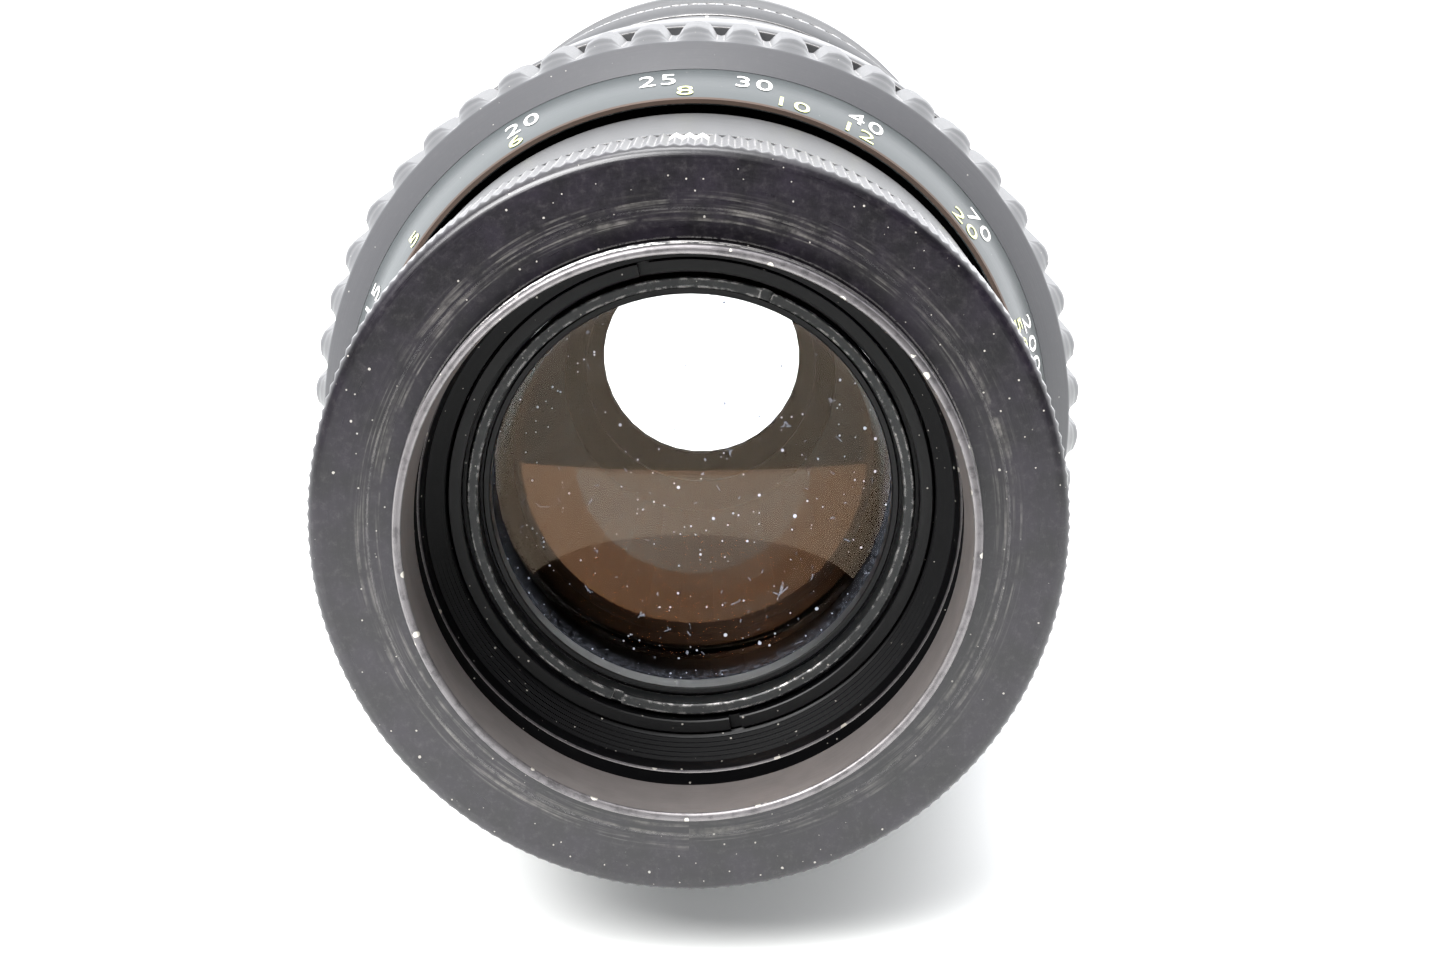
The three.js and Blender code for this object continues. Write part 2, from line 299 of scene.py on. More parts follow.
def anodised(name, tone, roughness, dust, wear, ior, haze=0.12, patch_tone=None, scuffed=None):
    """Black anodised aluminium, turned and satin: a dye-black oxide skin over bright metal, so its gloss
    is soft, the tool's circles show at a glance, and rubbed edges go to bare metal."""
    material, tree, mm = new_material(name)
    mottle = add(tree, "ShaderNodeTexNoise", {"Vector": mm, "Scale": 0.35, "Detail": 4, "Roughness": 0.6})
    patches = add(tree, "ShaderNodeMapRange", {
        "Value": mottle, "From Min": 0.3, "From Max": 0.75,
    }, interpolation_type="SMOOTHSTEP")
    colour = add(tree, "ShaderNodeMix", {
        "Factor": patches, 6: srgb(tone), 7: srgb(patch_tone or tone),
    }, data_type="RGBA")
    dusty = settled_dust(tree, mm, dust, haze)
    if scuffed:
        scuffs = scuff_ring(tree, mm, *scuffed)
        dusty = add(tree, "ShaderNodeMath", {0: dusty, 1: scuffs}, operation="MAXIMUM")
    colour = add(tree, "ShaderNodeMix", {"Factor": dusty, 6: colour, 7: DUST}, data_type="RGBA")
    worn = edge_wear(tree, mm, 0.22, wear) if wear else 0.0
    colour = add(tree, "ShaderNodeMix", {"Factor": worn, 6: colour, 7: BARE_METAL}, data_type="RGBA")

    path, _ = lathe_place(tree, mm)
    circles = add(tree, "ShaderNodeTexNoise", {"Vector": path, "Scale": 9, "Detail": 2, "Roughness": 0.5})
    satin = add(tree, "ShaderNodeMath", {0: circles, 1: 0.12, 2: roughness - 0.06}, operation="MULTIPLY_ADD")
    powdery = add(tree, "ShaderNodeMath", {0: dusty, 1: 0.85}, operation="MULTIPLY")
    rough = add(tree, "ShaderNodeMath", {0: satin, 1: powdery}, operation="MAXIMUM")
    turned = add(tree, "ShaderNodeBump", {"Strength": 0.35, "Distance": 0.02 * MM, "Height": circles})
    gritty = add(tree, "ShaderNodeBump", {
        "Strength": 0.6, "Distance": 0.05 * MM, "Height": dusty, "Normal": turned,
    })
    shader = add(tree, "ShaderNodeBsdfPrincipled", {
        "Base Color": colour, "Metallic": worn, "Roughness": rough, "IOR": ior, "Normal": gritty,
    })
    add(tree, "ShaderNodeOutputMaterial", {"Surface": shader})
    return material


def rubbed_metal():
    """Aluminium whose black skin has been rubbed off by years of screwing on: bright, fine-scratched
    round the lathe path, with grey patches of skin left."""
    material, tree, mm = new_material("rubbed_bare_aluminium")
    cloud = add(tree, "ShaderNodeTexNoise", {"Vector": mm, "Scale": 0.9, "Detail": 6, "Roughness": 0.7})
    skin_left = add(tree, "ShaderNodeMapRange", {
        "Value": cloud, "From Min": 0.45, "From Max": 0.65,
    }, interpolation_type="SMOOTHSTEP")
    colour = add(tree, "ShaderNodeMix", {
        "Factor": skin_left, 6: srgb("#656264"), 7: srgb("#464446"),
    }, data_type="RGBA")
    worn = edge_wear(tree, mm, 0.3, 0.35)
    colour = add(tree, "ShaderNodeMix", {"Factor": worn, 6: colour, 7: srgb("#aeaaa9")}, data_type="RGBA")
    grains = specks(tree, mm, 0.8, 0.3, 0.4)
    colour = add(tree, "ShaderNodeMix", {"Factor": grains, 6: colour, 7: DUST}, data_type="RGBA")

    path, _ = lathe_place(tree, mm)
    circles = add(tree, "ShaderNodeTexNoise", {"Vector": path, "Scale": 14, "Detail": 3, "Roughness": 0.6})
    rough = add(tree, "ShaderNodeMath", {0: circles, 1: 0.25, 2: 0.3}, operation="MULTIPLY_ADD")
    turned = add(tree, "ShaderNodeBump", {"Strength": 0.35, "Distance": 0.03 * MM, "Height": circles})
    shader = add(tree, "ShaderNodeBsdfPrincipled", {
        "Base Color": colour, "Metallic": 0.8, "Roughness": rough, "Normal": turned,
    })
    add(tree, "ShaderNodeOutputMaterial", {"Surface": shader})
    return material


def plain_metal(name, tone, roughness, metallic=1.0):
    """A turned or drawn metal inside the lens, with the tool's circles and a little tarnish."""
    material, tree, mm = new_material(name)
    cloud = add(tree, "ShaderNodeTexNoise", {"Vector": mm, "Scale": 0.5, "Detail": 3, "Roughness": 0.55})
    tarnish = add(tree, "ShaderNodeMath", {0: cloud, 1: 0.4}, operation="MULTIPLY")
    colour = add(tree, "ShaderNodeMix", {
        "Factor": tarnish, 6: srgb(tone), 7: srgb("#3a3836"),
    }, data_type="RGBA")

    path, _ = lathe_place(tree, mm)
    circles = add(tree, "ShaderNodeTexNoise", {"Vector": path, "Scale": 8, "Detail": 3, "Roughness": 0.6})
    rough = add(tree, "ShaderNodeMath", {0: circles, 1: 0.2, 2: roughness}, operation="MULTIPLY_ADD")
    turned = add(tree, "ShaderNodeBump", {"Strength": 0.3, "Distance": 0.02 * MM, "Height": circles})
    shader = add(tree, "ShaderNodeBsdfPrincipled", {
        "Base Color": colour, "Metallic": metallic, "Roughness": rough, "Normal": turned,
    })
    add(tree, "ShaderNodeOutputMaterial", {"Surface": shader})
    return material


def paint_fill(name, tone):
    """Enamel wiped into an engraving: opaque, slightly soiled, matt-satin."""
    material, tree, mm = new_material(name)
    cloud = add(tree, "ShaderNodeTexNoise", {"Vector": mm, "Scale": 3, "Detail": 5, "Roughness": 0.7})
    soil = add(tree, "ShaderNodeMapRange", {
        "Value": cloud, "From Min": 0.55, "From Max": 0.8, "To Max": 0.4,
    }, interpolation_type="SMOOTHSTEP")
    colour = add(tree, "ShaderNodeMix", {"Factor": soil, 6: srgb(tone), 7: srgb("#8f8c80")}, data_type="RGBA")
    shader = add(tree, "ShaderNodeBsdfPrincipled", {"Base Color": colour, "Roughness": 0.45})
    add(tree, "ShaderNodeOutputMaterial", {"Surface": shader})
    return material


def glass_dirt(tree, mm):
    """A mask of what lies on the outermost glass: grains, short fibres, and powder creeping in from
    the bezel."""
    coarse = specks(tree, mm, 0.85, 0.14, 0.5)
    small = specks(tree, mm, 0.4, 0.08, 0.4)
    grains = add(tree, "ShaderNodeMath", {0: coarse, 1: small}, operation="MAXIMUM")

    cracks = add(tree, "ShaderNodeTexVoronoi", {"Vector": mm, "Scale": 0.75}, feature="DISTANCE_TO_EDGE")
    threads = add(tree, "ShaderNodeMath", {0: cracks, 1: 0.03}, operation="LESS_THAN")
    cloud = add(tree, "ShaderNodeTexNoise", {"Vector": mm, "Scale": 1.1, "Detail": 2, "Roughness": 0.5})
    lengths = add(tree, "ShaderNodeMath", {0: cloud, 1: 0.66}, operation="GREATER_THAN")
    fibres = add(tree, "ShaderNodeMath", {0: threads, 1: lengths}, operation="MULTIPLY")
    fibres = add(tree, "ShaderNodeMath", {0: fibres, 1: 0.35}, operation="MULTIPLY")

    _, radius = lathe_place(tree, mm)
    near_bezel = add(tree, "ShaderNodeMapRange", {
        "Value": radius, "From Min": 14.5, "From Max": 15.6,
    }, interpolation_type="SMOOTHSTEP")
    clumps = add(tree, "ShaderNodeTexNoise", {"Vector": mm, "Scale": 3.5, "Detail": 6, "Roughness": 0.8})
    broken = add(tree, "ShaderNodeMapRange", {
        "Value": clumps, "From Min": 0.4, "From Max": 0.7, "To Max": 0.3,
    }, interpolation_type="SMOOTHSTEP")
    creeping = add(tree, "ShaderNodeMath", {0: near_bezel, 1: broken}, operation="MULTIPLY")

    cover = add(tree, "ShaderNodeMath", {0: grains, 1: fibres}, operation="MAXIMUM")
    return add(tree, "ShaderNodeMath", {0: cover, 1: creeping}, operation="MAXIMUM")


def coated_glass(name, coating, ior, dirt=None):
    """Polished optical glass with a single anti-reflection coating: it hardly shows except where it
    reflects, and there the coating tints the reflection. dirt(tree, mm) is a mask of what lies on it."""
    material, tree, mm = new_material(name)
    surface = add(tree, "ShaderNodeBsdfPrincipled", {
        "Base Color": srgb("#ffffff"), "Roughness": 0.0, "IOR": ior, "Transmission Weight": 1.0,
        "Specular Tint": srgb(coating),
    })
    if dirt:
        powder = add(tree, "ShaderNodeBsdfDiffuse", {"Color": srgb("#aab0c0")})
        surface = add(tree, "ShaderNodeMixShader", {0: dirt(tree, mm), 1: surface, 2: powder})
    add(tree, "ShaderNodeOutputMaterial", {"Surface": surface})
    return material


def trap_black():
    """The flat black of light traps and iris blades, which gives back almost nothing at any angle."""
    material, tree, mm = new_material("light_trap_black")
    cloud = add(tree, "ShaderNodeTexNoise", {"Vector": mm, "Scale": 0.6, "Detail": 3, "Roughness": 0.55})
    colour = add(tree, "ShaderNodeMix", {
        "Factor": cloud, 6: srgb("#060607"), 7: srgb("#0d0d0e"),
    }, data_type="RGBA")
    shader = add(tree, "ShaderNodeBsdfPrincipled", {
        "Base Color": colour, "Roughness": 0.9, "Specular IOR Level": 0.08,
    })
    add(tree, "ShaderNodeOutputMaterial", {"Surface": shader})
    return material


FLANGE_BLACK = anodised("black_anodised_flange", "#08060b", 0.3, dust=0.55, wear=0.24, ior=1.54,
                        haze=0.07, patch_tone="#16111b", scuffed=(22.2, 24.2))
SATIN_BLACK = anodised("black_anodised_satin", "#101113", 0.38, dust=0.3, wear=0.15, ior=1.45, haze=0.03)
SCALE_BLACK = anodised("black_anodised_scale", "#343a3b", 0.34, dust=0.12, wear=0.1, ior=1.6)
CONE_BLACK = anodised("black_anodised_cone", "#343437", 0.5, dust=0.12, wear=0.0, ior=1.5)
GRIP_BLACK = anodised("black_anodised_grip", "#242528", 0.38, dust=0.25, wear=0.3, ior=1.75, haze=0.1)
INNER_BLACK = anodised("black_anodised_inner", "#040405", 0.4, dust=0.5, wear=0.0, ior=1.38, haze=0.01)
MATT_BLACK = anodised("matt_black_anodised", "#020203", 0.5, dust=0.8, wear=0.0, ior=1.22, haze=0.003)
GREY_RING = anodised("grey_satin_anodised", "#111314", 0.38, dust=0.4, wear=0.15, ior=1.5)
TRAP_BLACK = trap_black()
INNER_WALL = plain_metal("worn_grey_inner_wall", "#827c7a", 0.42, 0.6)
BROWN_EDGE = plain_metal("worn_brown_edge", "#55453c", 0.35, 0.6)
RUBBED = rubbed_metal()
BRASS = plain_metal("turned_brass", "#b08d4a", 0.25)
SCREW_STEEL = plain_metal("screw_steel", "#85858a", 0.25)
WHITE_PAINT = paint_fill("white_enamel_fill", "#f4f3ee")
YELLOW_PAINT = paint_fill("yellow_green_enamel_fill", "#e3e8a0")
DUSTY_GLASS = coated_glass("dusty_orange_coated_flint", "#b88660", 1.7, glass_dirt)
PALE_GLASS = coated_glass("blue_grey_coated_flint", "#5b787c", 1.7)
BROWN_GLASS = coated_glass("brown_coated_flint", "#a3907c", 1.7)
BARE_GLASS = coated_glass("weakly_reflecting_flint", "#20292e", 1.7)
CROWN_GLASS = coated_glass("purple_coated_crown", "#7c6c98", 1.52)


# ---- Mount end ----

def tooth(angle, count):
    """0 at a crest and 1 at a valley of a V knurl; a crest is at the top."""
    share = (angle * count / TURN) % 1.0
    return 1 - abs(2 * share - 1)


def mount_ring():
    low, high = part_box("mount_ring")
    crest = (high.x - low.x) / 2 / MM
    outline = [(21.1, 0.1), (21.1, 0), (26.6, 0)]
    outline += arc(26.7, 1.0, 1.0, -84, -10, 6)
    outline += [(crest, station) for station in (1.6, 3, 5, 7, 9, KNURL_END - 0.35)]
    outline += [(crest - 0.3, KNURL_END), (25.95, KNURL_END), (25.95, 3.2), (23.2, 3.2), (23.2, 0.1)]
    bm = spun(outline, steps=4 * KNURL_TEETH)

    def knurl(radius, station, angle):
        if radius < crest - 0.32 or station > KNURL_END - 0.01:
            return 0.0
        run_in = min(1.0, max(0.0, (station - 0.35) / 0.7))
        return -KNURL_DEPTH * run_in * tooth(angle, KNURL_TEETH)

    move_radially(bm, knurl)
    spacing = TURN / KNURL_TEETH

    def paint(radius, station, angle):
        on_index = abs(angle) < INDEX_TEETH / 2 * spacing and radius > crest - 0.32
        along_index = INDEX_START < station < KNURL_END - 0.2
        return int(on_index and along_index and tooth(angle, KNURL_TEETH) < 0.75)

    piece("mount_ring_knurled", bm, REAR, [FLANGE_BLACK, WHITE_PAINT], "mount_ring",
          paint, 50)


def mount_spigot():
    tip = SPIGOT_TIP
    crest, root, pitch = 21.0, 20.55, 0.9
    outline = [(20.1, 2.4), (20.1, 2.0), (20.3, -1.0)] + arc(20.55, tip + 0.25, 0.22, 180, 270, 3)
    outline += arc(20.72, tip + 0.3, 0.28, 270, 360, 3)
    station = tip + 0.6
    while station < -pitch:
        outline += [(crest, station), (crest, station + 0.25), (root, station + 0.45), (root, station + 0.65)]
        station += pitch
    outline += [(20.6, -0.1), (20.6, 0.15), (23.05, 0.15), (23.05, 2.4)]
    bm = spun(outline, steps=256)

    def paint(radius, station, angle):
        if station < tip + 0.62:
            return 1
        return 2 if radius < 20.4 else 0

    piece("mount_thread", bm, REAR, [FLANGE_BLACK, RUBBED, INNER_WALL], "mount_spigot",
          paint)


def rear_barrel():
    start, end = stations("rear_barrel")
    step = 34.1
    outline = [(24.25, start), (25.7, start), (25.7, KNURL_END + 0.15), (27.4, KNURL_END + 0.15),
               (27.55, KNURL_END + 0.35), (27.6, 30.0), (27.6, step - 0.15), (27.45, step),
               (26.2, step), (26.2, end), (24.25, end)]
    # The tube behind the step, seen in the gap under the scale sleeve, takes the flat trap black as painted
    # shade for that recess; the bore takes it as the lens's own inner black.
    piece("rear_barrel_tube", spun(outline), REAR, [SATIN_BLACK, TRAP_BLACK], "rear_barrel",
          lambda radius, station, angle: int(station > step + 0.02 or radius < 25), 30)


def rear_baffle():
    """A conical wall cut into fine steps, which opens towards the mount."""
    front = stations("rear_baffle")[1]
    outline = [(20.15, 6.1), (20.3, 5.9), (24, 5.9), (24, front), (18.65, front)]
    step, widening, ledge = 0.5, 0.22, 0.28
    station, radius = front - 0.2, 18.65
    while station > 6.9:
        outline += [(radius, station), (radius + ledge, station - 0.1), (radius + ledge, station - 0.35)]
        station -= step
        radius += widening
    piece("rear_baffle_ribbed", spun(outline), REAR, [MATT_BLACK, RUBBED], "rear_baffle",
          lambda radius, station, angle: int(station < 6.05 and radius < 20.3), 30)


def rear_bulkhead():
    low, high = stations("rear_bulkhead")
    pitch = 0.5
    outline = [(24, low), (24, high), (18.75, high)]
    station = high - pitch / 2
    while station > low + 0.3:
        outline += [(18.62, station), (18.9, station - pitch / 2)]
        station -= pitch
    outline += [(18.75, low)]
    piece("rear_bulkhead_threaded", spun(outline), REAR, INNER_BLACK, "rear_bulkhead")


def slotted_ring(name, node, inner, outer, face, depth, angle, body, material, slot_width=0.9):
    """A ring with two opposed spanner slots in the face at one end."""
    low, high = stations(node)
    at_rear = abs(face - low) < abs(face - high)
    inward = 1 if at_rear else -1
    floor = face + depth * inward
    back = high if at_rear else low
    base = spun([(inner, floor), (outer, floor), (outer, back), (inner, back)])
    half = math.asin(slot_width / 2 / outer)
    lips = [
        spun([(inner, floor), (outer, floor), (outer, face + 0.08 * inward), (outer - 0.1, face),
              (inner + 0.1, face), (inner, face + 0.08 * inward)],
             steps=90, start=angle + half + n * math.pi, sweep=math.pi - 2 * half)
        for n in range(2)
    ]
    piece(name, joined(base, *lips), body, material, node)


def rear_rings():
    slotted_ring("rear_lock_ring_slotted", "rear_lock_ring", 17.45, 18.45, stations("rear_lock_ring")[0], 0.7,
                 math.radians(-11), REAR, INNER_BLACK)
    slotted_ring("rear_retaining_ring_slotted", "rear_retaining_ring", 16.2, 17.0,
                 stations("rear_retaining_ring")[0], 0.6, math.radians(20), REAR, GREY_RING)


def rear_bezel():
    low, high = stations("rear_bezel")
    outline = [(15.5, high), (15.45, low + 0.1), (15.55, low), (15.9, low), (16.0, low + 0.15),
               (16.0, low + 0.5), (17.0, low + 0.5), (17.0, high)]
    piece("rear_bezel_ring", spun(outline), REAR, INNER_BLACK, "rear_bezel")


def rear_cell():
    low, high = stations("rear_cell")
    outline = [(17.2, low), (18.5, low), (18.5, high), (15.6, high), (15.6, high - 1.4), (17.2, high - 1.4)]
    piece("rear_cell_tube", spun(outline), REAR, [INNER_BLACK, TRAP_BLACK], "rear_cell",
          lambda radius, station, angle: int(radius < 17.3 or station > low + 1))


def lens(name, node, body, materials, rear_edge, front_edge, rear_sag, front_sag, radius):
    """A lens element between two spherical faces, given by their rise at the edge in mm. The second
    material is the coating of its front face."""
    steps = 20

    def face(edge, sag, side):
        bend = (radius ** 2 + sag ** 2) / (2 * abs(sag))

        def rise(r):
            return math.copysign(math.sqrt(bend ** 2 - r ** 2) - math.sqrt(bend ** 2 - radius ** 2), sag)

        return [(radius * i / steps, edge + side * rise(radius * i / steps)) for i in range(steps + 1)]

    outline = face(rear_edge, rear_sag, -1) + face(front_edge, front_sag, 1)[::-1]
    bm = spun(outline, steps=128, closed=False)
    middle = (rear_edge + front_edge) / 2

    def coating(r, station, angle):
        return int(station - middle > (front_sag - rear_sag) / 2 * (1 - (r / radius) ** 2))

    piece(name, bm, body, materials, node, coating, 25)


def rear_group():
    rim = 16.8
    lens("rear_lens_dusty", "rear_lens_outer", REAR, [DUSTY_GLASS, PALE_GLASS], 15.1, 19.6, 1.62, -2.91, rim)
    lens("rear_lens_second", "rear_lens_inner", REAR, [BROWN_GLASS, BARE_GLASS], 23.2, 28.1, -1.99, 1.55, rim)


# ---- Focus ring ----

def cone_radius(station):
    share = (station - SLEEVE_LIP) / (CONE_TOP - SLEEVE_LIP)
    return CONE_LIP_RADIUS + share * (CONE_TOP_RADIUS - CONE_LIP_RADIUS)


def scale_sleeve():
    start, end = stations("scale_sleeve")
    outline = [(28.15, start + 0.1), (28.25, start), (28.6, start), (CONE_LIP_RADIUS, start + 0.2)]
    outline += [(CONE_TOP_RADIUS, CONE_TOP), (CONE_TOP_RADIUS, end), (29.3, end), (29.3, 43)]
    piece("scale_sleeve_cone", spun(outline, 256), FOCUS, [SCALE_BLACK, BROWN_EDGE],
          "scale_sleeve", lambda radius, station, angle: int(station < start + 0.15 and radius > 28.2), 30)


def rib_height(angle):
    """From 0 in a valley to 1 on a rib's rounded crest."""
    share = (angle * RIB_COUNT / TURN + 0.5) % 1.0
    side = abs(2 * share - 1)
    if side <= RIB_SHOULDER:
        return 1 - 0.12 * (side / RIB_SHOULDER) ** 2
    return 1 - min(1.0, (side - RIB_SHOULDER) / 0.5) ** 1.3


def focus_grip():
    start, end = stations("focus_grip")
    outline = [(31.1, start + 0.3), (30.84, start + 0.1), (30.84, start)]
    outline += [(RIB_VALLEY - 0.15, RIB_START - 0.25)]
    pitch, samples = 1.0, 4
    count = int((RIB_END - RIB_START) / pitch * samples)
    outline += [(RIB_VALLEY, RIB_START + i * pitch / samples) for i in range(count + 1)]
    outline += [(RIB_VALLEY - 0.7, RIB_END + 0.2), (RIB_VALLEY - 0.7, RIB_END + 1.1), (33.8, RIB_END + 1.2),
                (34.0, RIB_END + 1.5), (34.0, end - 0.7), (33.7, end), (31.1, end)]
    bm = spun(outline, steps=12 * RIB_COUNT)

    def ribs(radius, station, angle):
        if not RIB_START - 0.01 < station < RIB_END + 0.01 or radius < RIB_VALLEY - 0.1:
            return 0.0
        run_in = min(1.0, max(0.0, (station - RIB_START) / 2.4))
        run_out = min(1.0, max(0.0, (RIB_END - station) / 0.5))
        height = (RIB_CREST - RIB_VALLEY) * rib_height(angle)
        phase = (station - RIB_START) / pitch % 1.0
        groove = 0.09 * (1 - abs(2 * phase - 1)) * run_in
        return min(height * run_in, height) * (0.4 + 0.6 * run_out) - groove * run_out

    move_radially(bm, ribs)
    piece("focus_grip_ribbed", bm, FOCUS, [GRIP_BLACK, CONE_BLACK], "focus_grip",
          lambda radius, station, angle: int(station < RIB_START - 0.1), 40)


def numeral(text, height, width):
    """Flat outlines of a number, centred, as a bmesh in mm."""
    curve = bpy.data.curves.new("number", "FONT")
    curve.body = text
    curve.align_x = "CENTER"
    curve.align_y = "BOTTOM_BASELINE"
    curve.resolution_u = 4
    curve.space_character = 1.15
    made = bpy.data.objects.new("number", curve)
    mesh = bpy.data.meshes.new_from_object(made)
    bm = bmesh.new()
    bm.from_mesh(mesh)
    tall = max(v.co.y for v in bm.verts)
    bmesh.ops.scale(bm, vec=(width / tall, height / tall, 1), verts=bm.verts)
    bpy.data.objects.remove(made)
    bpy.data.meshes.remove(mesh)
    return bm


def engraved(marks, radius_at, lift=0.02):
    """Wraps flat marks round the lens. Each mark is a bmesh, its angle, the station of its foot, and the
    share of its height that runs along the axis."""
    for bm, angle, foot, run in marks:
        for vert in bm.verts:
            station = foot + vert.co.y * run
            radius = radius_at(station) + lift
            vert.co = point_at(radius, station, angle + vert.co.x / radius)
        bmesh.ops.recalc_face_normals(bm, faces=bm.faces)
        for face in bm.faces:
            middle = face.calc_center_median()
            outwards = Vector((middle.x, 0, middle.z - AXIS_Z))
            if face.normal.dot(outwards) < 0:
                face.normal_flip()
    return joined(*(mark[0] for mark in marks))


def thickened(bm, depth=0.015):
    """Gives flat marks a skin's thickness, so that each is a closed body."""
    bmesh.ops.remove_doubles(bm, verts=bm.verts, dist=1e-7)
    bmesh.ops.solidify(bm, geom=bm.faces, thickness=depth * MM)
    return bm


INFINITY_ANGLE = 87.5
SCALE_TURN = 2340.0   # degrees of turn per reciprocal foot
FEET = (15, 20, 25, 30, 40, 70, 200)
METRES = (5, 6, 8, 10, 12, 20, 50)
FEET_IN_METRE = 1 / 0.3048
NUMERAL_WIDTH = 2.2   # the scale at which digits are drawn across, in mm


def scale_row(name, distances, feet_in_unit, height, foot, paint):
    """A row of the distance scale. The ring's turn from infinity goes as one over the distance."""
    slope = math.cos(math.atan2(CONE_TOP_RADIUS - CONE_LIP_RADIUS, CONE_TOP - SLEEVE_LIP))
    marks = []
    for distance in distances:
        angle = INFINITY_ANGLE - SCALE_TURN / (distance * feet_in_unit)
        marks.append((numeral(str(distance), height, NUMERAL_WIDTH), math.radians(angle), foot, slope))
    piece(name, thickened(engraved(marks, cone_radius)), FOCUS, paint)


def scale_numbers():
    scale_row("scale_numbers_feet", FEET, 1, 2.1, SLEEVE_LIP + 2.6, WHITE_PAINT)
    scale_row("scale_numbers_metres", METRES, FEET_IN_METRE, 1.75, SLEEVE_LIP + 0.5, YELLOW_PAINT)


# ---- Front barrel ----

def front_barrel():
    start, end = stations("front_barrel")
    seat = APERTURE_START - 0.4
    outline = [(27, start + 0.15), (27.15, start), (28.85, start), (29, start + 0.15), (29, 70.4),
               (30.45, 70.4), (30.6, 70.6), (30.6, 94.4), (32.5, 96.2), (32.6, 96.5), (32.6, 129.8),
               (32.45, 129.95), (32.45, 130.25), (32.6, 130.4), (32.6, seat - 0.15), (32.45, seat),
               (31.0, seat), (31.0, end), (29.6, end), (29.6, 140), (28.8, 138), (28.8, 80), (27, 78)]
    piece("front_barrel_tube", spun(outline, 224), FRONT, [SATIN_BLACK, TRAP_BLACK],
          "front_barrel", lambda radius, station, angle: int(radius < 29.7 and station > 72), 30)


def filter_ring():
    start, end = stations("filter_ring")
    outline = [(31.2, start), (33.25, start), (33.4, start + 0.15), (33.4, 170), (34.3, 172.8), (34.4, 173.2),
               (34.4, end - 0.5), (34.1, end - 0.1), (33.9, end), (33.1, end), (32.95, end - 0.2)]
    crest, root, pitch = 32.6, 32.95, 0.75
    station = end - 0.8
    while station > 177.2:
        outline += [(root, station + 0.37), (crest, station + 0.15), (crest, station), (root, station - 0.2)]
        station -= pitch
    outline += [(32.6, 176.5), (31.2, 176.5), (31.2, 172.6), (29.7, 172.6), (29.7, 158.3), (31.2, 158.3)]
    piece("filter_ring_threaded", spun(outline, 224), FRONT, [SATIN_BLACK, MATT_BLACK],
          "filter_ring", lambda radius, station, angle: int(radius < 33), 30)


def front_group():
    start, end = stations("front_cell")
    outline = [(26.6, start), (29.4, start), (29.4, end), (27.9, end), (27.9, 155), (26.6, 155)]
    piece("front_cell_tube", spun(outline), FRONT, MATT_BLACK, "front_cell")
    crown = [CROWN_GLASS, CROWN_GLASS]
    rim = 27.6
    lens("front_lens_second", "front_lens_inner", FRONT, crown, 155.2, 159.2, -1.0, -2.1, rim)
    lens("front_lens_crown", "front_lens_outer", FRONT, crown, 161.5, 164.5, 1.6, 2.4, rim)
    slotted_ring("front_retaining_ring_slotted", "front_retaining_ring", 26.4, 27.7,
                 stations("front_retaining_ring")[1], 0.8, math.radians(113), FRONT, INNER_BLACK, 1.2)


def front_name_ring():
    start, end = stations("front_name_ring")
    outline = [(28, start), (31, start), (31, end - 0.1), (30.9, end), (30.4, end), (30.2, end - 0.35)]
    outline += [(28.9, start + 1.55), (28.7, start + 1.6), (28.5, start + 1.2), (28, start + 0.8)]
    piece("front_name_ring_blank", spun(outline, 224), FRONT, INNER_BLACK, "front_name_ring")


def aperture_ring():
    start, end = APERTURE_START, APERTURE_END
    inner, crest = 31.35, 33.9
    outline = [(inner, start + 0.1), (inner + 0.1, start), (32.7, start), (32.9, start + 0.15)]
    outline += [(crest - 0.05, 142.8)]
    outline += [(crest, s) for s in (143.2, 143.4, 145, 147, 148.6, 148.8)]
    outline += [(crest - 0.1, 149.2), (33.2, 149.9), (33.2, end - 0.2), (33.0, end), (inner, end)]
    teeth = 96
    bm = spun(outline, steps=teeth * 6)

    def scallops(radius, station, angle):
        if radius < crest - 0.02 or not 143.3 < station < 148.7:
            return 0.0
        share = (angle * teeth / TURN) % 1.0
        return -0.45 if share < 0.4 else 0.0

    move_radially(bm, scallops)
    piece("aperture_ring_milled", bm, APERTURE, GRIP_BLACK, "aperture_ring", None, 35)


STOPS = ("6.3", "8", "11", "16", "22")
STOP_STEP = 15.0      # degrees of the aperture ring between stops


def aperture_numbers():
    marks = [(numeral(text, 1.9, 1.7), math.radians(-n * STOP_STEP), APERTURE_START + 9.2, 1.0)
             for n, text in enumerate(STOPS)]
    piece("aperture_numbers", thickened(engraved(marks, lambda station: 33.2)), APERTURE,
          WHITE_PAINT)


def bar(width, length):
    """A flat strip with rounded corners, in mm."""
    bm = bmesh.new()
    bmesh.ops.create_grid(bm, x_segments=1, y_segments=1, size=0.5)
    bmesh.ops.scale(bm, vec=(width, length, 1), verts=bm.verts)
    bmesh.ops.translate(bm, vec=(0, length / 2, 0), verts=bm.verts)
    bmesh.ops.bevel(bm, geom=bm.verts, offset=width * 0.3, segments=3, profile=0.5, affect="VERTICES",
                    material=-1)
    return bm


def aperture_index():
    lines = [(bar(0.35, 5.0), 0.0, 133.5, 1.0)]
    piece("aperture_index", thickened(engraved(lines, lambda station: 32.6)), FRONT,
          WHITE_PAINT)


# ---- Small and hidden pieces keep their solids and get their own finish ----

def plain_pieces():
    finishes = {
        BRASS: ["guide_key_left", "guide_key_right"],
        SCREW_STEEL: ["aperture_drive_pin", "grip_screw_1", "grip_screw_2", "grip_screw_3"],
        TRAP_BLACK: ["rear_spacer", "barrel_baffle", "front_spacer", "iris_base", "iris_drive_ring",
                     "inner_tube", "focus_nut"] + [f"iris_blade_{n}" for n in range(1, 11)],
    }
    for material, nodes in finishes.items():
        for node in nodes:
            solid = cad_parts[node]
            solid.data.materials.clear()
            solid.data.materials.append(material)


# ---- Stage ----

